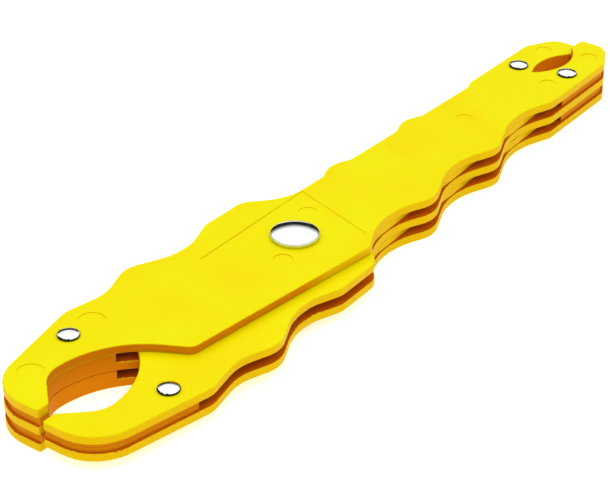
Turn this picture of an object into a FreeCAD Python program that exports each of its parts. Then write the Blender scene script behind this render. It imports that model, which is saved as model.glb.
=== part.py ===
import FreeCAD, Part
import math
import os
from FreeCAD import Placement, Rotation, Vector

# Double-ended fuse puller: five moulded plates on one pivot rivet, millimetres.
# +X runs from the large jaws to the small jaws and +Z is up, from the flat underside.
# Half A is plates 1, 3 and 5 from the top; half B is plates 2 and 4 and mirrors it in y.
# Outlines are drawn from the pivot; each body's Placement moves the origin to mid length.

os.makedirs("parts", exist_ok=True)
doc = FreeCAD.newDocument("fuse_puller")

# ---------------------------------------------------------------- dimensions

DIMS = (
    ("layer_pitch", 1.90, "height of one layer"),
    ("running_gap", 0.03, "gap between plates of the two halves"),
    ("edge_round", 0.28, "rounding of the moulded edges"),
    ("pivot_shank", 6.00, "pivot rivet shank diameter"),
    ("pivot_head", 10.20, "pivot rivet head diameter"),
    ("pivot_dome", 2.00, "pivot rivet head height"),
    ("pivot_rim", 0.95, "straight side of the pivot rivet head"),
    ("jaw_shank", 2.40, "jaw rivet shank diameter"),
    ("jaw_head", 4.50, "jaw rivet head diameter"),
    ("jaw_dome", 0.95, "jaw rivet head height"),
    ("jaw_rim", 0.30, "straight side of a jaw rivet head"),
    ("shank_slack", 0.05, "radial play of a shank in its hole"),
    ("seam", 0.06, "gap where two half-height bosses meet"),
    ("mark_depth", 0.12, "depth of the mould marks"),
)

sheet = doc.addObject("Spreadsheet::Sheet", "dims")
size = {}
for row, (alias, value, note) in enumerate(DIMS, start=1):
    sheet.set(f"A{row}", note)
    sheet.set(f"B{row}", str(value))
    sheet.setAlias(f"B{row}", alias)
    size[alias] = value
doc.recompute()

PITCH = size["layer_pitch"]
GAP = size["running_gap"]
STACK = 5 * PITCH
THIN = PITCH - 2 * GAP
HALF_BOSS = (PITCH + 2 * GAP - size["seam"]) / 2

# Corners of half A seen from above: x, y and the corner radius.
LARGE_GRIP = [
    (11.4, 10.5, 12.0),
    (4.2, 17.2, 4.5),
    (-7.5, 17.5, 5.0),
    (-17.6, 13.8, 15.0),
    (-30.0, 19.75, 6.9),
    (-39.1, 16.46, 11.0),
    (-48.9, 18.5, 6.0),
    (-75.8, 13.1, 10.0),
]
LARGE_JAW = [
    (-75.8, 0.5, 0.5),
    (-72.7, 0.5, 0.4),
    (-66.2, 7.25, 6.5),
    (-51.4, 6.4, 20.8),
    (-43.1, -9.0, 2.5),
]
SMALL_GRIP = [
    (6.2, -14.5, 2.0),
    (17.7, -8.06, 18.0),
    (30.0, -14.1, 7.0),
    (44.1, -8.02, 17.0),
    (56.1, -12.95, 6.0),
    (70.3, -6.92, 18.0),
    (81.0, -11.05, 3.5),
    (104.4, -10.75, 4.0),
    (111.4, -6.8, 4.3),
]
SMALL_JAW = [
    (111.4, -0.15, 1.3),
    (106.9, -0.15, 0.4),
    (98.8, -7.4, 10.8),
    (91.0, -0.15, 3.5),
    (86.2, 7.75, 2.0),
]
HALF = LARGE_GRIP + LARGE_JAW + SMALL_GRIP + SMALL_JAW
MIDDLE = (SMALL_GRIP[-1][0] + LARGE_JAW[0][0]) / 2

# Areas that the raised jaw bosses keep inside; the inner walls stay flush with the plate.
LARGE_BOSS = [(-51.7, -25.0, 0.0), (-51.7, 17.25, 0.0), (-75.15, 12.55, 9.3), (-75.15, -25.0, 0.0)]
SMALL_BOSS = [(86.5, -10.35, 0.0), (104.2, -10.1, 3.8), (110.95, -6.4, 4.2), (110.95, 3.0, 0.0), (94.4, 3.0, 0.0)]

LARGE_RIVET = (-54.4, 12.35)
SMALL_RIVET = (94.5, -6.5)
MARKS_A = [
    (-47.8, 12.4, 2.70),
    (-67.6, 9.8, 2.75),
    (9.2, 3.7, 2.00),
    (-8.4, -3.4, 2.00),
    (62.4, 0.4, 1.90),
    (87.8, -5.6, 1.90),
    (104.8, -6.1, 1.90),
]
MARKS_B = [(104.8, -6.1, 1.90)]
PANEL_LINE = [(-18.3, 9.7), (15.2, 9.7), (9.6, -10.9)]
PANEL_WIDTH = 0.25


# ---------------------------------------------------------------- outline helpers

def rounded(corners, side):
    """Lines and arcs of a closed outline; side -1 gives its mirror image in y."""
    points = [Vector(x, side * y, 0) for x, y, _ in corners]
    count = len(points)
    tangents = []
    for i, here in enumerate(points):
        radius = corners[i][2]
        to_last = (points[i - 1] - here).normalize()
        to_next = (points[(i + 1) % count] - here).normalize()
        half_angle = to_last.getAngle(to_next) / 2
        reach = radius / math.tan(half_angle)
        middle = (to_last + to_next).normalize()
        dip = radius / math.sin(half_angle) - radius
        tangents.append((here + to_last * reach, here + middle * dip, here + to_next * reach, radius))
    shapes = []
    for i in range(count):
        start, middle, end, radius = tangents[i]
        if radius > 0:
            shapes.append(Part.Arc(start, middle, end))
        following = tangents[(i + 1) % count][0]
        if (following - end).Length > 1e-6:
            shapes.append(Part.LineSegment(end, following))
    return shapes


def face_of(corners, side):
    edges = [shape.toShape() for shape in rounded(corners, side)]
    return Part.Face(Part.Wire(Part.__sortEdges__(edges)))


def boss_shapes(area, side):
    """Outline of a boss: the plate's own outline kept inside the given area."""
    common = face_of(HALF, side).common(face_of(area, side)).Faces[0]
    shapes = []
    for edge in common.OuterWire.OrderedEdges:
        first, last = edge.FirstParameter, edge.LastParameter
        start, end = edge.valueAt(first), edge.valueAt(last)
        if isinstance(edge.Curve, Part.Circle):
            shapes.append(Part.Arc(start, edge.valueAt((first + last) / 2), end))
        else:
            shapes.append(Part.LineSegment(start, end))
    return shapes


def strip(points, width, side):
    """Closed outline of a narrow groove that follows an open line."""
    line = [Vector(x, side * y, 0) for x, y in points]
    left, right = [], []
    for i, here in enumerate(line):
        before = (here - line[i - 1]).normalize() if i > 0 else None
        after = (line[i + 1] - here).normalize() if i < len(line) - 1 else None
        along = (before + after).normalize() if before and after else before or after
        across = Vector(-along.y, along.x, 0)
        stretch = 1.0 / math.cos(along.getAngle(after or before))
        left.append(here + across * (width / 2 * stretch))
        right.append(here - across * (width / 2 * stretch))
    loop = left + right[::-1]
    return [Part.LineSegment(loop[i - 1], loop[i]) for i in range(len(loop))]


# ---------------------------------------------------------------- feature helpers

def new_body(label, height):
    body = doc.addObject("PartDesign::Body", label)
    body.Label = label
    body.Placement = Placement(Vector(-MIDDLE, 0, height), Rotation())
    return body


def new_sketch(body, name, shapes, lift=0.0, plane="XY_Plane"):
    sketch = body.newObject("Sketcher::SketchObject", name)
    origin_plane = [f for f in body.Origin.OriginFeatures if f.Role == plane][0]
    sketch.AttachmentSupport = [(origin_plane, "")]
    sketch.MapMode = "FlatFace"
    sketch.AttachmentOffset = Placement(Vector(0, 0, lift), Rotation())
    sketch.addGeometry(shapes, False)
    return sketch


def pad(body, name, shapes, length, lift=0.0, down=False):
    feature = body.newObject("PartDesign::Pad", name)
    feature.Profile = new_sketch(body, name + "_sketch", shapes, lift)
    feature.setExpression("Length", length)
    feature.Reversed = down
    doc.recompute()
    return feature


def pocket(body, name, shapes, length, lift, up=False):
    before = body.Shape.Volume
    feature = body.newObject("PartDesign::Pocket", name)
    feature.Profile = new_sketch(body, name + "_sketch", shapes, lift)
    if isinstance(length, str):
        feature.setExpression("Length", length)
    else:
        feature.Length = length
    feature.Reversed = up
    doc.recompute()
    if not feature.Shape.Volume < before:
        raise ValueError(f"{body.Label} {name} removed nothing")
    return feature


def circle(x, y, radius):
    return Part.Circle(Vector(x, y, 0), Vector(0, 0, 1), radius)


def outline_edges(shape, side, heights, bosses):
    """Names of the outline edges at the given heights that no boss covers."""
    outline = face_of(HALF, side).OuterWire
    names = []
    for index, edge in enumerate(shape.Edges, start=1):
        first, last = edge.FirstParameter, edge.LastParameter
        middle = edge.valueAt((first + last) / 2)
        ends = [edge.valueAt(first).z, edge.valueAt(last).z]
        if max(ends) - min(ends) > 1e-6 or min(abs(ends[0] - h) for h in heights) > 1e-6:
            continue
        flat = Part.Vertex(Vector(middle.x, middle.y, 0))
        if flat.distToShape(outline)[0] > 1e-4:
            continue
        if any(flat.distToShape(boss)[0] < 1e-4 for boss in bosses):
            continue
        names.append(f"Edge{index}")
    return names


# ---------------------------------------------------------------- plates

def make_plate(label, height, side, thickness, boss=None, tails=False, marks=None):
    """One moulded plate; boss is None or (length expression, height, faces down)."""
    body = new_body(label, height)
    thick_expression = "dims.layer_pitch" if side > 0 else "dims.layer_pitch - 2 * dims.running_gap"
    plate = pad(body, "plate", rounded(HALF, side), thick_expression)
    areas = []
    low, high = 0.0, thickness
    if boss:
        expression, rise, down = boss
        for name, area in (("large_boss", LARGE_BOSS), ("small_boss", SMALL_BOSS)):
            pad(body, name, boss_shapes(area, side), expression, 0.0 if down else thickness, down)
            areas.append(face_of(HALF, side).common(face_of(area, side)))
        low, high = (-rise, high) if down else (low, high + rise)
    base = body.Tip
    rims = []
    for z in (0.0, thickness):
        bossed = boss and ((z == 0.0) == boss[2])
        rims += outline_edges(base.Shape, side, [z], areas if bossed else [])
    soft = body.newObject("PartDesign::Fillet", "soft_edges")
    soft.Base = (base, rims)
    soft.setExpression("Radius", "dims.edge_round")
    doc.recompute()


    slack = size["shank_slack"]
    holes = [circle(0, 0, size["pivot_shank"] / 2 + slack)]
    for x, y in (LARGE_RIVET, SMALL_RIVET):
        holes.append(circle(x, side * y, size["jaw_shank"] / 2 + slack))
    pocket(body, "rivet_holes", holes, high - low, high)
    if tails:
        seats = [circle(x, side * y, 2.25) for x, y in (LARGE_RIVET, SMALL_RIVET)]
        pocket(body, "tail_seats", seats + [circle(0, 0, 4.75)], 0.90, 0.0, up=True)
    if marks:
        pocket(body, "pin_marks", [circle(x, side * y, r) for x, y, r in marks], "dims.mark_depth", thickness)
    if marks == MARKS_A:
        pocket(body, "panel_line", strip(PANEL_LINE, PANEL_WIDTH, side), "dims.mark_depth", thickness)
    return body


FULL_BOSS = ("dims.layer_pitch", PITCH, False)
BOSS_UP = ("dims.layer_pitch / 2 + dims.running_gap - dims.seam / 2", HALF_BOSS, False)
BOSS_DOWN = ("dims.layer_pitch / 2 + dims.running_gap - dims.seam / 2", HALF_BOSS, True)

make_plate("top_plate_a", 4 * PITCH, 1, PITCH, marks=MARKS_A)
make_plate("middle_plate_a", 2 * PITCH, 1, PITCH, boss=FULL_BOSS)
make_plate("bottom_plate_a", 0.0, 1, PITCH, boss=FULL_BOSS, tails=True)
make_plate("upper_plate_b", 3 * PITCH + GAP, -1, THIN, boss=BOSS_DOWN, marks=MARKS_B)
make_plate("lower_plate_b", PITCH + GAP, -1, THIN, boss=BOSS_UP)


# ---------------------------------------------------------------- rivets

def make_rivet(label, x, y, top, bottom, shank, head, dome, rim, tail, tail_height):
    """Domed head above top, clinched tail below bottom, turned about its own axis."""
    body = new_body(label, 0.0)
    body.Placement = Placement(Vector(x - MIDDLE, y, 0), Rotation())
    crown = dome - rim
    cap = ((head / 2) ** 2 + crown ** 2) / (2 * crown)
    centre = top + dome - cap
    lean = math.asin(head / 2 / cap) / 2
    soft = 0.3 * tail_height
    crest = Vector(0, top + dome, 0)
    corner = Vector(head / 2, top + rim, 0)
    shapes = [
        Part.LineSegment(crest, Vector(0, bottom - tail_height, 0)),
        Part.LineSegment(Vector(0, bottom - tail_height, 0), Vector(tail / 2 - soft, bottom - tail_height, 0)),
        Part.LineSegment(Vector(tail / 2 - soft, bottom - tail_height, 0), Vector(tail / 2, bottom - tail_height + soft, 0)),
        Part.LineSegment(Vector(tail / 2, bottom - tail_height + soft, 0), Vector(tail / 2, bottom, 0)),
        Part.LineSegment(Vector(tail / 2, bottom, 0), Vector(shank / 2, bottom, 0)),
        Part.LineSegment(Vector(shank / 2, bottom, 0), Vector(shank / 2, top, 0)),
        Part.LineSegment(Vector(shank / 2, top, 0), Vector(head / 2, top, 0)),
        Part.LineSegment(Vector(head / 2, top, 0), corner),
        Part.Arc(corner, Vector(cap * math.sin(lean), centre + cap * math.cos(lean), 0), crest),
    ]
    profile = new_sketch(body, "profile", shapes, plane="XZ_Plane")
    turned = body.newObject("PartDesign::Revolution", "turned")
    turned.Profile = profile
    turned.ReferenceAxis = (profile, ["V_Axis"])
    turned.Angle = 360
    doc.recompute()
    return body


PIVOT = (size["pivot_shank"], size["pivot_head"], size["pivot_dome"], size["pivot_rim"])
JAW = (size["jaw_shank"], size["jaw_head"], size["jaw_dome"], size["jaw_rim"])
make_rivet("pivot_rivet", 0, 0, STACK, 0.9, *PIVOT, 9.2, 0.8)
for place, (x, y) in (("large", LARGE_RIVET), ("small", SMALL_RIVET)):
    make_rivet(f"{place}_jaw_rivet_a", x, y, STACK, 0.9, *JAW, 4.2, 0.8)
    make_rivet(f"{place}_jaw_rivet_b", x, -y, 4 * PITCH - GAP, PITCH + GAP, *JAW, 4.2, 0.8)

# ---------------------------------------------------------------- checks and export

doc.recompute()
for item in doc.Objects:
    if "Invalid" in item.State or "Error" in item.State:
        raise ValueError(f"{item.Name} did not build: {item.State}")
for body in [item for item in doc.Objects if item.TypeId == "PartDesign::Body"]:
    if body.Shape.isNull() or not body.Shape.isValid():
        raise ValueError(f"{body.Label} has no valid shape")
    body.Shape.exportStep(f"parts/{body.Label}.step")
    box = body.Shape.BoundBox
    print(f"{body.Label}: {len(body.Shape.Solids)} solid, {body.Shape.Volume:.2f} mm3,"
          f" z {box.ZMin:.2f} to {box.ZMax:.2f}, x {box.XMin:.2f} to {box.XMax:.2f}")
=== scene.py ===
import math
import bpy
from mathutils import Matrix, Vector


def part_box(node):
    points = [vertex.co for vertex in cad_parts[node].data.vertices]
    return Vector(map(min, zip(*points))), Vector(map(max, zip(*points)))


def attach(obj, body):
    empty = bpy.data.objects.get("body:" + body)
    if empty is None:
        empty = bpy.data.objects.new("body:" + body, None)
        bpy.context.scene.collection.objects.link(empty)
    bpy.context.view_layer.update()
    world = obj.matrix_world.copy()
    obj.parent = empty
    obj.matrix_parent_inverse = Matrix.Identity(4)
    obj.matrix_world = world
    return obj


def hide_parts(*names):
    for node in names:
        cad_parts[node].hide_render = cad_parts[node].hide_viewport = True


bl_info = {
    "name": "Fuse Puller",
    "version": (1, 0, 0),
    "blender": (4, 5, 0),
    "location": "View3D > Sidebar > Fuse Puller",
    "description": "Finishes the plates of a double-ended fuse puller and turns its five rivets",
    "category": "Object",
}

import bmesh
import bpy
from bpy.props import FloatProperty, FloatVectorProperty, PointerProperty
from mathutils import Vector

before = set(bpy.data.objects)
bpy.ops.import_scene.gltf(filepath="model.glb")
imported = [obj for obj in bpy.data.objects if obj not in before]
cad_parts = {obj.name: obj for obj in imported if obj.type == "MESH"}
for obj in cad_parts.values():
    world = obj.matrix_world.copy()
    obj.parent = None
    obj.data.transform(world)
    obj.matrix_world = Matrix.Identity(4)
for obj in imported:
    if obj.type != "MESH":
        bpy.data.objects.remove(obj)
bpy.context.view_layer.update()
MM = 0.001

PLATES = ("top_plate_a", "upper_plate_b", "middle_plate_a", "lower_plate_b", "bottom_plate_a")
# Height of one layer, and the height above which the upward faces lie open, in millimetres.
LAYER = 1.9
OPEN_HEIGHT = 7.2

# The small rivets and the half that each one ties together.
JAW_RIVETS = {
    "large_jaw_rivet_a": "half_a",
    "small_jaw_rivet_a": "half_a",
    "large_jaw_rivet_b": "half_b",
    "small_jaw_rivet_b": "half_b",
}

# Rivets: height of the clinched end, then the shapes as turn_rivet takes them.
CLINCH = 0.8 * MM
PIVOT_SHAPE = {"rim": 0.95 * MM, "shoulder": 0.10 * MM, "socket": 3.0 * MM, "tail": 4.6 * MM}
JAW_SHAPE = {"rim": 0.40 * MM, "shoulder": 0.20 * MM, "socket": 1.2 * MM, "tail": 2.1 * MM}

CAMERA_PLACE = (-0.3250, -0.2353, 0.2467)
CAMERA_TURN = (math.radians(58.14), 0.0, math.radians(-52.853))

# Places where walls face the other half and get painted shade: centre and half sizes in x and y, share that
# is full.
JAW_SHADE_BOXES = (
    ((-76.6 * MM, 0.0), (14.2 * MM, 8.6 * MM), 0.99),
    ((79.4 * MM, 0.0), (10.2 * MM, 4.7 * MM), 0.99),
    ((-45.0 * MM, 0.0), (34.0 * MM, 13.4 * MM), 0.90),
)


# ---------------------------------------------------------------- settings

class PullerPlasticSettings(bpy.types.PropertyGroup):
    """Colours and surface of the moulded plates."""

    body: FloatVectorProperty(
        name="Plastic", description="Colour of the moulded plastic", subtype="COLOR",
        size=3, min=0.0, max=1.0, default=(0.77, 0.71, 0.0005),
    )
    # Painted shade: darker orange on upright faces of recessed layers and of walls facing the other half.
    deep: FloatVectorProperty(
        name="Recess shade", description="Painted shade on the recessed layers and jaw walls", subtype="COLOR",
        size=3, min=0.0, max=1.0, default=(0.70, 0.265, 0.001),
    )
    # Painted shade: dark red on the covered upward faces deep between the plates.
    slot: FloatVectorProperty(
        name="Slot shade", description="Painted shade on the covered faces deep between the plates", subtype="COLOR",
        size=3, min=0.0, max=1.0, default=(0.56, 0.13, 0.001),
    )
    # Painted shade on upright faces, darker than the lit tops; the random clouds also drift towards this
    # colour.
    edge: FloatVectorProperty(
        name="Wall shade", description="Painted shade on upright faces, also the colour the clouds drift towards", subtype="COLOR",
        size=3, min=0.0, max=1.0, default=(0.82, 0.53, 0.001),
    )
    scuffed: FloatVectorProperty(
        name="Scuffed plastic", description="Colour of rubbed and scratched spots", subtype="COLOR",
        size=3, min=0.0, max=1.0, default=(0.88, 0.74, 0.04),
    )
    roughness: FloatProperty(
        name="Roughness", description="Roughness of the moulded skin", min=0.0, max=1.0, default=0.42,
    )
    grain: FloatProperty(
        name="Grain", description="Spacing of the moulded grain, in millimetres",
        min=0.02, max=2.0, default=0.22,
    )


class PullerRivetSettings(bpy.types.PropertyGroup):
    """Colours and shape of the rivets."""

    metal: FloatVectorProperty(
        name="Nickel", description="Colour of the plated rivets", subtype="COLOR",
        size=3, min=0.0, max=1.0, default=(0.80, 0.83, 0.80),
    )
    # Painted reflection: a dark band on the steep sides of the rivet heads, standing in for dark surroundings
    # mirrored there.
    dark_reflection: FloatVectorProperty(
        name="Dark reflection", description="Painted dark reflection on the steep sides of the heads", subtype="COLOR",
        size=3, min=0.0, max=1.0, default=(0.035, 0.05, 0.02),
    )
    roughness: FloatProperty(
        name="Roughness", description="Roughness of the plating", min=0.0, max=1.0, default=0.10,
    )
    lip: FloatProperty(
        name="Lip", description="Share of the pivot head's radius that its flat lip takes",
        min=0.0, max=0.3, default=0.035,
    )
    steps: FloatProperty(
        name="Spin step", description="Angle between the sections of a turned rivet",
        unit="ROTATION", min=math.radians(2), max=math.radians(20), default=math.radians(3.75),
    )


class PullerStageSettings(bpy.types.PropertyGroup):
    """Light and camera."""

    sky: FloatProperty(
        name="Sky", description="Brightness of the soft light all round", min=0.0, max=10.0, default=1.22,
    )
    horizon: FloatProperty(
        name="Horizon", description="Height of the dim band above the floor, as an angle",
        unit="ROTATION", min=0.0, max=math.radians(60), default=math.radians(24),
    )
    lens: FloatProperty(
        name="Lens", description="Focal length of the camera, in millimetres",
        min=20.0, max=400.0, default=132.07,
    )
    floor: FloatVectorProperty(
        name="Floor", description="Colour of the floor", subtype="COLOR",
        size=3, min=0.0, max=1.0, default=(0.68, 0.68, 0.68),
    )
    lift: FloatProperty(
        name="Floor lift", description="Faint glow of the floor that softens the shadow",
        min=0.0, max=1.0, default=0.46,
    )


# ---------------------------------------------------------------- node helpers

def add(nodes, kind, at=(0, 0), **values):
    """A node with its attributes or named inputs set."""
    node = nodes.new(kind)
    node.location = at
    for name, value in values.items():
        if name in node.inputs:
            node.inputs[name].default_value = value
        else:
            setattr(node, name, value)
    return node


def new_group(name, inputs, outputs):
    """An empty shader group: inputs are (name, default), outputs are (name, socket type)."""
    group = bpy.data.node_groups.new(name, "ShaderNodeTree")
    for label, default in inputs:
        socket = group.interface.new_socket(label, in_out="INPUT", socket_type="NodeSocketFloat")
        socket.default_value = default
    for label, kind in outputs:
        group.interface.new_socket(label, in_out="OUTPUT", socket_type=kind)
    start = add(group.nodes, "NodeGroupInput", (-900, 0))
    end = add(group.nodes, "NodeGroupOutput", (900, 0))
    return group, start, end


def fine_grain_group():
    """Fine overall grain and slow clouds on Object coordinates; sizes in millimetres."""
    group, start, end = new_group(
        "Fine grain", [("Grain size", 0.2), ("Cloud size", 12.0)],
        [("Grain", "NodeSocketFloat"), ("Clouds", "NodeSocketFloat")],
    )
    nodes, links = group.nodes, group.links
    coords = add(nodes, "ShaderNodeTexCoord", (-900, 300))
    layers = (("Grain", "Grain size", 3.0, 0.6), ("Clouds", "Cloud size", 2.0, 0.5))
    for label, size_input, detail, rough in layers:
        scale = add(nodes, "ShaderNodeMath", (-600, 0), operation="DIVIDE")
        scale.inputs[0].default_value = 1000.0
        noise = add(nodes, "ShaderNodeTexNoise", (-300, 0), Detail=detail, Roughness=rough)
        links.new(start.outputs[size_input], scale.inputs[1])
        links.new(scale.outputs[0], noise.inputs["Scale"])
        links.new(coords.outputs["Object"], noise.inputs["Vector"])
        links.new(noise.outputs["Fac"], end.inputs[label])
    return group


def scuffs_group():
    """Short hairline scratches in two directions, gathered in patches, as a mask from 0 to 1."""
    group, start, end = new_group(
        "Hairline scuffs", [("Length", 6.0), ("Width", 0.12), ("Amount", 0.5)],
        [("Scuffs", "NodeSocketFloat")],
    )
    nodes, links = group.nodes, group.links
    coords = add(nodes, "ShaderNodeTexCoord", (-1200, 300))
    along = add(nodes, "ShaderNodeMath", (-900, 200), operation="DIVIDE")
    across = add(nodes, "ShaderNodeMath", (-900, 0), operation="DIVIDE")
    for node, label in ((along, "Length"), (across, "Width")):
        node.inputs[0].default_value = 1000.0
        links.new(start.outputs[label], node.inputs[1])
    size = add(nodes, "ShaderNodeCombineXYZ", (-700, 100))
    links.new(along.outputs[0], size.inputs["X"])
    links.new(across.outputs[0], size.inputs["Y"])
    links.new(along.outputs[0], size.inputs["Z"])
    last = None
    for turn in (0.35, -0.8):
        spun = add(nodes, "ShaderNodeMapping", (-900, -300))
        spun.inputs["Rotation"].default_value = (0, 0, turn)
        stretched = add(nodes, "ShaderNodeVectorMath", (-500, 0), operation="MULTIPLY")
        streaks = add(nodes, "ShaderNodeTexNoise", (-300, 0), Scale=1.0, Detail=1.0)
        line = add(nodes, "ShaderNodeMapRange", (-100, 0))
        line.inputs["From Min"].default_value = 0.66
        line.inputs["From Max"].default_value = 0.74
        links.new(coords.outputs["Object"], spun.inputs["Vector"])
        links.new(spun.outputs[0], stretched.inputs[0])
        links.new(size.outputs[0], stretched.inputs[1])
        links.new(stretched.outputs[0], streaks.inputs["Vector"])
        links.new(streaks.outputs["Fac"], line.inputs["Value"])
        if last is None:
            last = line
        else:
            both = add(nodes, "ShaderNodeMath", (100, 0), operation="MAXIMUM")
            links.new(last.outputs[0], both.inputs[0])
            links.new(line.outputs[0], both.inputs[1])
            last = both
    patches = add(nodes, "ShaderNodeTexNoise", (-300, -400), Scale=60.0, Detail=2.0)
    held = add(nodes, "ShaderNodeMapRange", (-100, -400))
    held.inputs["From Min"].default_value = 0.48
    held.inputs["From Max"].default_value = 0.68
    share = add(nodes, "ShaderNodeMath", (300, 0), operation="MULTIPLY")
    total = add(nodes, "ShaderNodeMath", (500, 0), operation="MULTIPLY")
    links.new(coords.outputs["Object"], patches.inputs["Vector"])
    links.new(patches.outputs["Fac"], held.inputs["Value"])
    links.new(last.outputs[0], share.inputs[0])
    links.new(held.outputs[0], share.inputs[1])
    links.new(share.outputs[0], total.inputs[0])
    links.new(start.outputs["Amount"], total.inputs[1])
    links.new(total.outputs[0], end.inputs["Scuffs"])
    return group


def shared_group(name, build):
    """The node group of that name, built on its first use."""
    return bpy.data.node_groups.get(name) or build()


def group_node(nodes, group, at, **values):
    """A group placed in a material, with its named inputs set; an underscore stands for a space."""
    node = add(nodes, "ShaderNodeGroup", at, node_tree=group)
    for name, value in values.items():
        node.inputs[name.replace("_", " ")].default_value = value
    return node


def new_material(name, roughness, metallic=0.0, specular=0.5):
    material = bpy.data.materials.new(name)
    material.use_nodes = True
    shader = material.node_tree.nodes["Principled BSDF"]
    shader.inputs["Roughness"].default_value = roughness
    shader.inputs["Metallic"].default_value = metallic
    shader.inputs["Specular IOR Level"].default_value = specular
    return material, material.node_tree.nodes, material.node_tree.links, shader


def mixed_colour(nodes, at, first, second):
    """A colour mix node: input 0 is its factor, 6 and 7 its colours, output 2 its result."""
    node = add(nodes, "ShaderNodeMix", at, data_type="RGBA")
    node.inputs[6].default_value = (*first, 1.0)
    node.inputs[7].default_value = (*second, 1.0)
    return node


# ---------------------------------------------------------------- materials

def recess_group():
    """Masks of a half's recessed layers and of its covered upward faces, by height in millimetres, which
    place painted shade.
    """
    group, start, end = new_group(
        "Recessed layers", [("Layer height", LAYER), ("First layer", 0.0), ("Open height", OPEN_HEIGHT)],
        [("Recess", "NodeSocketFloat"), ("Covered", "NodeSocketFloat")],
    )
    nodes, links = group.nodes, group.links
    coords = add(nodes, "ShaderNodeTexCoord", (-900, 300))
    split = add(nodes, "ShaderNodeSeparateXYZ", (-700, 300))
    millimetres = add(nodes, "ShaderNodeMath", (-500, 300), operation="MULTIPLY")
    millimetres.inputs[1].default_value = 1000.0
    layers = add(nodes, "ShaderNodeMath", (-300, 300), operation="DIVIDE")
    shifted = add(nodes, "ShaderNodeMath", (-100, 300), operation="ADD")
    wave = add(nodes, "ShaderNodeMath", (100, 300), operation="PINGPONG")
    wave.inputs[1].default_value = 1.0
    soft = add(nodes, "ShaderNodeMapRange", (300, 300), interpolation_type="SMOOTHSTEP")
    soft.inputs["From Min"].default_value = 0.44
    soft.inputs["From Max"].default_value = 0.56
    links.new(coords.outputs["Object"], split.inputs[0])
    links.new(split.outputs["Z"], millimetres.inputs[0])
    links.new(millimetres.outputs[0], layers.inputs[0])
    links.new(start.outputs["Layer height"], layers.inputs[1])
    links.new(layers.outputs[0], shifted.inputs[0])
    links.new(start.outputs["First layer"], shifted.inputs[1])
    links.new(shifted.outputs[0], wave.inputs[0])
    links.new(wave.outputs[0], soft.inputs["Value"])
    links.new(soft.outputs[0], end.inputs["Recess"])
    normal = add(nodes, "ShaderNodeSeparateXYZ", (-500, -100))
    upward = add(nodes, "ShaderNodeMath", (-300, -100), operation="GREATER_THAN")
    upward.inputs[1].default_value = 0.7
    below = add(nodes, "ShaderNodeMath", (-300, -300), operation="LESS_THAN")
    covered = add(nodes, "ShaderNodeMath", (-100, -100), operation="MULTIPLY")
    links.new(coords.outputs["Normal"], normal.inputs[0])
    links.new(normal.outputs["Z"], upward.inputs[0])
    links.new(millimetres.outputs[0], below.inputs[0])
    links.new(start.outputs["Open height"], below.inputs[1])
    links.new(upward.outputs[0], covered.inputs[0])
    links.new(below.outputs[0], covered.inputs[1])
    links.new(covered.outputs[0], end.inputs["Covered"])
    return group


def inside_box(nodes, links, position, at, box):
    """Output of a mask that is 1 inside an upright box: centre, half sizes in x and y, share that is full."""
    centre, half, soft = box
    moved = add(nodes, "ShaderNodeVectorMath", at, operation="SUBTRACT")
    moved.inputs[1].default_value = (centre[0], centre[1], 0.0)
    scaled = add(nodes, "ShaderNodeVectorMath", (at[0] + 200, at[1]), operation="DIVIDE")
    scaled.inputs[1].default_value = (half[0], half[1], 1.0)
    absolute = add(nodes, "ShaderNodeVectorMath", (at[0] + 400, at[1]), operation="ABSOLUTE")
    split = add(nodes, "ShaderNodeSeparateXYZ", (at[0] + 600, at[1]))
    farther = add(nodes, "ShaderNodeMath", (at[0] + 800, at[1]), operation="MAXIMUM")
    inside = add(nodes, "ShaderNodeMapRange", (at[0] + 1000, at[1]), interpolation_type="SMOOTHSTEP")
    inside.inputs["From Min"].default_value = 1.0
    inside.inputs["From Max"].default_value = soft
    links.new(position, moved.inputs[0])
    links.new(moved.outputs[0], scaled.inputs[0])
    links.new(scaled.outputs[0], absolute.inputs[0])
    links.new(absolute.outputs[0], split.inputs[0])
    links.new(split.outputs["X"], farther.inputs[0])
    links.new(split.outputs["Y"], farther.inputs[1])
    links.new(farther.outputs[0], inside.inputs[0])
    return inside.outputs[0]


def jaw_shade_group():
    """Mask of the walls that face the other half, at the jaws and beside the pivot, on Object coordinates;
    these walls get painted shade.
    """
    group, start, end = new_group("Jaw wall shade", [], [("Walls", "NodeSocketFloat")])
    nodes, links = group.nodes, group.links
    coords = add(nodes, "ShaderNodeTexCoord", (-1100, 300))
    masks = []
    for i, box in enumerate(JAW_SHADE_BOXES):
        masks.append(inside_box(nodes, links, coords.outputs["Object"], (-900, 300 - 300 * i), box))
    for i, mask in enumerate(masks[1:]):
        most = add(nodes, "ShaderNodeMath", (300 + 200 * i, 150), operation="MAXIMUM")
        links.new(masks[0], most.inputs[0])
        links.new(mask, most.inputs[1])
        masks[0] = most.outputs[0]
    links.new(masks[0], end.inputs["Walls"])
    return group


def steep_faces_group():
    """Mask from 0 to 1 between two heights of the surface normal: a level one and a steep one."""
    group, start, end = new_group(
        "Steep faces", [("Level", 0.75), ("Steep", 0.15)], [("Steep", "NodeSocketFloat")],
    )
    nodes, links = group.nodes, group.links
    coords = add(nodes, "ShaderNodeTexCoord", (-700, 200))
    split = add(nodes, "ShaderNodeSeparateXYZ", (-500, 200))
    height = add(nodes, "ShaderNodeMath", (-300, 200), operation="ABSOLUTE")
    mask = add(nodes, "ShaderNodeMapRange", (0, 100))
    links.new(coords.outputs["Normal"], split.inputs[0])
    links.new(split.outputs["Z"], height.inputs[0])
    links.new(height.outputs[0], mask.inputs["Value"])
    links.new(start.outputs["Level"], mask.inputs["From Min"])
    links.new(start.outputs["Steep"], mask.inputs["From Max"])
    links.new(mask.outputs[0], end.inputs["Steep"])
    return group


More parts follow.
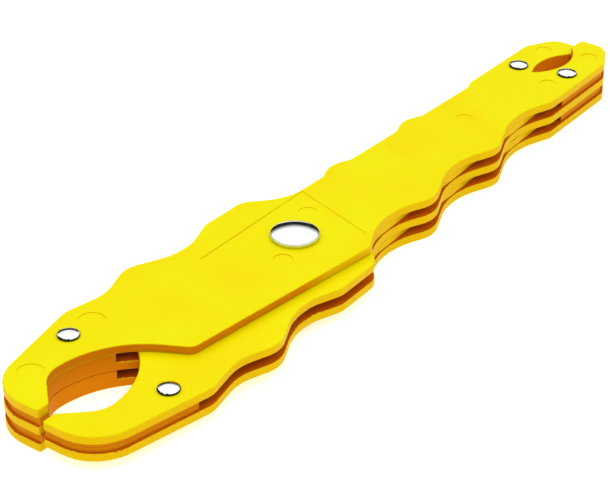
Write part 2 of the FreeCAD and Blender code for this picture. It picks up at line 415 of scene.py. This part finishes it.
def plastic_material(name, look, first_layer):
    """Semi-gloss moulded plastic: painted shade on upright faces, recesses, jaw walls and covered faces
    between the plates, slow clouds, grain, faint scuffs.
    """
    material, nodes, links, shader = new_material(name, look.roughness, specular=0.06)
    grain = group_node(nodes, shared_group("Fine grain", fine_grain_group), (-900, 100),
                       Grain_size=look.grain, Cloud_size=14.0)
    scuffs = group_node(nodes, shared_group("Hairline scuffs", scuffs_group), (-900, -200),
                        Length=7.0, Width=0.10, Amount=0.55)
    recess = group_node(nodes, shared_group("Recessed layers", recess_group), (-900, 300),
                        First_layer=first_layer)
    steep = group_node(nodes, shared_group("Steep faces", steep_faces_group), (-1100, 500),
                       Level=0.75, Steep=0.15)
    upright = steep.outputs["Steep"]
    clouds = add(nodes, "ShaderNodeMapRange", (-700, 250))
    clouds.inputs["From Min"].default_value = 0.35
    clouds.inputs["From Max"].default_value = 0.75
    clouds.inputs["To Max"].default_value = 0.35
    skin = mixed_colour(nodes, (-650, 500), look.body, look.edge)
    # Painted shade: upright faces take the darker wall colour.
    shaded_walls = mixed_colour(nodes, (-450, 500), look.body, look.edge)
    # Painted shade mask: upright faces in recesses or on jaw walls.
    recess_shade_mask = add(nodes, "ShaderNodeMath", (-600, 300), operation="MULTIPLY")
    # Painted shade on covered upward faces deep between the plates.
    slot_shaded = mixed_colour(nodes, (-300, 450), look.deep, look.slot)
    # Mask of the jaw walls that get painted shade.
    jaw_shade = group_node(nodes, shared_group("Jaw wall shade", jaw_shade_group), (-1100, 300))
    # Where painted shade goes: recessed layers or jaw walls.
    shade_places = add(nodes, "ShaderNodeMath", (-750, 300), operation="MAXIMUM")
    # Painted shade: recessed upright faces and jaw walls take the darker orange.
    tone = mixed_colour(nodes, (-300, 250), look.body, look.deep)
    worn = add(nodes, "ShaderNodeMath", (-300, -50), operation="SUBTRACT", use_clamp=True)
    rubbed = mixed_colour(nodes, (-150, 250), look.body, look.scuffed)
    links.new(grain.outputs["Clouds"], clouds.inputs["Value"])
    links.new(clouds.outputs[0], skin.inputs[0])
    links.new(skin.outputs[2], shaded_walls.inputs[6])
    links.new(upright, shaded_walls.inputs[0])
    links.new(recess.outputs["Recess"], shade_places.inputs[0])
    links.new(jaw_shade.outputs["Walls"], shade_places.inputs[1])
    links.new(upright, recess_shade_mask.inputs[0])
    links.new(shade_places.outputs[0], recess_shade_mask.inputs[1])
    links.new(recess_shade_mask.outputs[0], tone.inputs[0])
    links.new(shaded_walls.outputs[2], tone.inputs[6])
    links.new(tone.outputs[2], slot_shaded.inputs[6])
    links.new(recess.outputs["Covered"], slot_shaded.inputs[0])
    links.new(slot_shaded.outputs[2], rubbed.inputs[6])
    links.new(scuffs.outputs["Scuffs"], worn.inputs[0])
    links.new(upright, worn.inputs[1])
    links.new(worn.outputs[0], rubbed.inputs[0])
    links.new(rubbed.outputs[2], shader.inputs["Base Color"])

    gloss = add(nodes, "ShaderNodeMapRange", (-450, 0))
    gloss.inputs["From Min"].default_value = 0.3
    gloss.inputs["From Max"].default_value = 0.7
    gloss.inputs["To Min"].default_value = look.roughness - 0.05
    gloss.inputs["To Max"].default_value = look.roughness + 0.06
    links.new(grain.outputs["Clouds"], gloss.inputs["Value"])
    links.new(gloss.outputs[0], shader.inputs["Roughness"])

    scratch = add(nodes, "ShaderNodeMath", (-450, -250), operation="MULTIPLY")
    scratch.inputs[1].default_value = -0.6
    height = add(nodes, "ShaderNodeMath", (-300, -250), operation="ADD")
    bump = add(nodes, "ShaderNodeBump", (-150, -250), Strength=0.22, Distance=0.00006)
    links.new(scuffs.outputs["Scuffs"], scratch.inputs[0])
    links.new(scratch.outputs[0], height.inputs[1])
    links.new(grain.outputs["Grain"], height.inputs[0])
    links.new(height.outputs[0], bump.inputs["Height"])
    links.new(bump.outputs["Normal"], shader.inputs["Normal"])
    return material


def nickel_material(name, look, dark_reflection):
    """Bright nickel plate with faint tumbling marks, with a painted dark reflection on its steep sides."""
    material, nodes, links, shader = new_material(name, look.roughness, metallic=1.0)
    grain = group_node(nodes, shared_group("Fine grain", fine_grain_group), (-900, 100),
                       Grain_size=0.5, Cloud_size=1.8)
    scuffs = group_node(nodes, shared_group("Hairline scuffs", scuffs_group), (-900, -200),
                        Length=1.6, Width=0.05, Amount=0.7)
    dull = tuple(0.86 * channel for channel in look.metal)
    tone = mixed_colour(nodes, (-450, 250), look.metal, dull)
    links.new(grain.outputs["Clouds"], tone.inputs[0])
    # Painted reflection: steep sides of the heads darkened as if they mirrored dark surroundings.
    reflected_sides = mixed_colour(nodes, (-250, 250), look.metal, look.dark_reflection)
    steep = group_node(nodes, shared_group("Steep faces", steep_faces_group), (-900, 500),
                       Level=0.93, Steep=0.80)
    amount = add(nodes, "ShaderNodeMath", (-450, 450), operation="MULTIPLY")
    amount.inputs[1].default_value = dark_reflection
    links.new(steep.outputs["Steep"], amount.inputs[0])
    links.new(amount.outputs[0], reflected_sides.inputs[0])
    links.new(tone.outputs[2], reflected_sides.inputs[6])
    links.new(reflected_sides.outputs[2], shader.inputs["Base Color"])
    gloss = add(nodes, "ShaderNodeMapRange", (-450, 0))
    gloss.inputs["From Min"].default_value = 0.3
    gloss.inputs["From Max"].default_value = 0.75
    gloss.inputs["To Min"].default_value = look.roughness - 0.03
    gloss.inputs["To Max"].default_value = look.roughness + 0.08
    links.new(grain.outputs["Clouds"], gloss.inputs["Value"])
    links.new(gloss.outputs[0], shader.inputs["Roughness"])
    height = add(nodes, "ShaderNodeMath", (-300, -250), operation="ADD")
    bump = add(nodes, "ShaderNodeBump", (-150, -250), Strength=0.10, Distance=0.00005)
    links.new(grain.outputs["Grain"], height.inputs[0])
    links.new(scuffs.outputs["Scuffs"], height.inputs[1])
    links.new(height.outputs[0], bump.inputs["Height"])
    links.new(bump.outputs["Normal"], shader.inputs["Normal"])
    return material


def shared_material(name, build, look, *rest):
    """The material of that name, built on its first use."""
    return bpy.data.materials.get(name) or build(name, look, *rest)


# ---------------------------------------------------------------- rivets

def chain(bm, start, points):
    """Extrudes one vertex after another through the (radius, height) points."""
    made = []
    last = start
    for radius, height in points:
        result = bmesh.ops.extrude_vert_indiv(bm, verts=[last])
        last = result["verts"][0]
        last.co = Vector((radius, 0.0, height))
        made.append(last)
    return made


def turn_rivet(name, low, high, seat, floor, head, rim, lip, shoulder, step, socket, tail):
    """A rivet turned about its own axis: low and high are its box, seat and floor the faces that it grips.

    head, socket and tail are the radii of the head, the shank and the clinched end; rim is the height of the
    head's straight side, lip the share of its radius outside the dome, shoulder the rounding of its edges.
    """
    centre = (low + high) / 2
    dome = high.z - seat
    crown_radius = head * (1 - lip)
    crown = dome - rim
    cap = (crown_radius ** 2 + crown ** 2) / (2 * crown)
    lean = math.asin(crown_radius / cap)
    bm = bmesh.new()
    crest = bm.verts.new((0.0, 0.0, high.z))
    arc = bmesh.ops.spin(
        bm, geom=[crest], cent=(0.0, 0.0, high.z - cap), axis=(0.0, 1.0, 0.0),
        angle=lean, steps=14, use_duplicate=False,
    )
    edge = [item for item in arc["geom_last"] if isinstance(item, bmesh.types.BMVert)][0]
    end = low.z
    deep = floor - end
    points = []
    if lip > 0:
        points += [(crown_radius + 0.004 * head, seat + rim * 0.80), (head * 0.99, seat + rim * 0.80)]
    points += [(head, seat + rim * 0.5), (head * 0.985, seat), (socket, seat), (socket, floor)]
    points += [(tail * 0.98, floor), (tail, floor - deep * 0.45), (tail * 0.86, end)]
    points += [(tail * 0.50, end), (tail * 0.34, end + deep * 0.35), (0.0, end + deep * 0.45)]
    chain(bm, edge, points)
    profile = bm.verts[:] + bm.edges[:]
    sections = round(2 * math.pi / step)
    bmesh.ops.spin(
        bm, geom=profile, cent=(0.0, 0.0, 0.0), axis=(0.0, 0.0, 1.0),
        angle=2 * math.pi, steps=sections, use_merge=True,
    )
    bmesh.ops.remove_doubles(bm, verts=bm.verts, dist=1e-7)
    creases = []
    for item in bm.edges:
        level = abs(item.verts[0].co.z - item.verts[1].co.z) < 1e-7
        if level and len(item.link_faces) == 2 and item.calc_face_angle(0.0) > math.radians(25):
            creases.append(item)
    bmesh.ops.bevel(
        bm, geom=creases, offset=shoulder, offset_type="OFFSET", affect="EDGES",
        segments=3, profile=0.5, material=-1, clamp_overlap=True,
    )
    bmesh.ops.recalc_face_normals(bm, faces=bm.faces)
    bmesh.ops.translate(bm, verts=bm.verts, vec=(centre.x, centre.y, 0.0))
    for face in bm.faces:
        face.smooth = True
    mesh = bpy.data.meshes.new(name)
    bm.to_mesh(mesh)
    bm.free()
    piece = bpy.data.objects.new(name, mesh)
    bpy.context.scene.collection.objects.link(piece)
    return piece


def finish_rivet(piece, node, body, look, dark_reflection):
    """Plates a turned rivet and puts it in the place of its plain node."""
    kind = "Pivot nickel" if node == "pivot_rivet" else "Jaw nickel"
    # The last argument is the strength of the painted dark reflection on the steep sides.
    piece.data.materials.append(shared_material(kind, nickel_material, look, dark_reflection))
    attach(piece, body)
    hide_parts(node)


# ---------------------------------------------------------------- operators

class PULLER_OT_plates(bpy.types.Operator):
    """Give the five moulded plates their plastic"""

    bl_idname = "puller.plates"
    bl_label = "Finish Plates"

    def execute(self, context):
        look = context.scene.puller_plastic
        for half, first_layer in (("a", -0.5), ("b", 0.5)):
            plastic = shared_material(f"Yellow plastic {half.upper()}", plastic_material, look, first_layer)
            for name in PLATES:
                if name.endswith("_" + half):
                    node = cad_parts[name]
                    node.data.materials.clear()
                    node.data.materials.append(plastic)
        return {"FINISHED"}


class PULLER_OT_pivot_rivet(bpy.types.Operator):
    """Turn the large domed rivet that both halves swing on"""

    bl_idname = "puller.pivot_rivet"
    bl_label = "Turn Pivot Rivet"

    def execute(self, context):
        look = context.scene.puller_rivets
        low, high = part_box("pivot_rivet")
        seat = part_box("top_plate_a")[1].z
        head = (high.x - low.x) / 2
        piece = turn_rivet(
            "pivot_rivet_turned", low, high, seat, low.z + CLINCH, head,
            lip=look.lip, step=look.steps, **PIVOT_SHAPE,
        )
        # Faint painted dark reflection on the pivot head.
        finish_rivet(piece, "pivot_rivet", "half_a", look, 0.08)
        return {"FINISHED"}


class PULLER_OT_jaw_rivets(bpy.types.Operator):
    """Turn the four small domed rivets that tie the plates of each half at the jaws"""

    bl_idname = "puller.jaw_rivets"
    bl_label = "Turn Jaw Rivets"

    def execute(self, context):
        look = context.scene.puller_rivets
        for node, body in JAW_RIVETS.items():
            low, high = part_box(node)
            plate = "top_plate_a" if body == "half_a" else "upper_plate_b"
            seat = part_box(plate)[1].z
            head = (high.x - low.x) / 2
            piece = turn_rivet(
                node + "_turned", low, high, seat, low.z + CLINCH, head,
                lip=0.0, step=look.steps * 1.5, **JAW_SHAPE,
            )
            # Full painted dark reflection on the jaw rivet heads.
            finish_rivet(piece, node, body, look, 1.0)
        return {"FINISHED"}


class PULLER_OT_stage(bpy.types.Operator):
    """Lay the pale floor, light the scene softly and place the camera"""

    bl_idname = "puller.stage"
    bl_label = "Set Stage"

    def execute(self, context):
        look = context.scene.puller_stage
        scene = context.scene
        scene.view_settings.view_transform = "Standard"
        scene.view_settings.look = "Medium High Contrast"

        bm = bmesh.new()
        bmesh.ops.create_grid(bm, x_segments=1, y_segments=1, size=2.0)
        bmesh.ops.translate(bm, verts=bm.verts, vec=(0.0, 0.0, -0.1 * MM))
        mesh = bpy.data.meshes.new("floor")
        bm.to_mesh(mesh)
        bm.free()
        floor = bpy.data.objects.new("floor", mesh)
        scene.collection.objects.link(floor)
        material, nodes, links, shader = new_material("Pale floor", 0.9, specular=0.1)
        shader.inputs["Base Color"].default_value = (*look.floor, 1.0)
        shader.inputs["Emission Color"].default_value = (1.0, 1.0, 1.0, 1.0)
        shader.inputs["Emission Strength"].default_value = look.lift
        floor.data.materials.append(material)

        world = bpy.data.worlds.new("Soft studio")
        world.use_nodes = True
        nodes, links = world.node_tree.nodes, world.node_tree.links
        coords = add(nodes, "ShaderNodeTexCoord", (-800, 0))
        split = add(nodes, "ShaderNodeSeparateXYZ", (-600, 0))
        rise = add(nodes, "ShaderNodeMapRange", (-400, 0), interpolation_type="SMOOTHSTEP")
        rise.inputs["From Min"].default_value = math.sin(look.horizon) * 0.6
        rise.inputs["From Max"].default_value = math.sin(look.horizon) * 1.4
        rise.inputs["To Min"].default_value = 0.02
        rise.inputs["To Max"].default_value = look.sky
        links.new(coords.outputs["Generated"], split.inputs[0])
        height = add(nodes, "ShaderNodeMath", (-500, 0), operation="ABSOLUTE")
        links.new(split.outputs["Z"], height.inputs[0])
        links.new(height.outputs[0], rise.inputs["Value"])
        links.new(rise.outputs[0], nodes["Background"].inputs["Strength"])
        nodes["Background"].inputs["Color"].default_value = (1.0, 1.0, 1.0, 1.0)
        scene.world = world

        camera = bpy.data.objects.new("camera", bpy.data.cameras.new("camera"))
        camera.data.lens = look.lens
        camera.data.sensor_width = 36.0
        camera.data.clip_start = 0.01
        camera.location = CAMERA_PLACE
        camera.rotation_euler = CAMERA_TURN
        scene.collection.objects.link(camera)
        scene.camera = camera
        return {"FINISHED"}


class PULLER_PT_panel(bpy.types.Panel):
    """Settings and steps of the fuse puller"""

    bl_idname = "PULLER_PT_panel"
    bl_label = "Fuse Puller"
    bl_space_type = "VIEW_3D"
    bl_region_type = "UI"
    bl_category = "Fuse Puller"

    def draw(self, context):
        for group, kind in SETTINGS.items():
            box = self.layout.box()
            for name in kind.__annotations__:
                box.prop(getattr(context.scene, group), name)
            for step in STEPS[group]:
                box.operator(step)


CLASSES = (
    PullerPlasticSettings,
    PullerRivetSettings,
    PullerStageSettings,
    PULLER_OT_plates,
    PULLER_OT_pivot_rivet,
    PULLER_OT_jaw_rivets,
    PULLER_OT_stage,
    PULLER_PT_panel,
)
STEPS = {
    "puller_plastic": ("puller.plates",),
    "puller_rivets": ("puller.pivot_rivet", "puller.jaw_rivets"),
    "puller_stage": ("puller.stage",),
}
SETTINGS = {
    "puller_plastic": PullerPlasticSettings,
    "puller_rivets": PullerRivetSettings,
    "puller_stage": PullerStageSettings,
}


def register():
    for item in CLASSES:
        bpy.utils.register_class(item)
    for name, kind in SETTINGS.items():
        setattr(bpy.types.Scene, name, PointerProperty(type=kind))


def unregister():
    for name in SETTINGS:
        delattr(bpy.types.Scene, name)
    for item in reversed(CLASSES):
        bpy.utils.unregister_class(item)


def main():
    register()
    bpy.ops.puller.stage()
    bpy.ops.puller.plates()
    bpy.ops.puller.pivot_rivet()
    bpy.ops.puller.jaw_rivets()


if __name__ == "__main__":
    main()
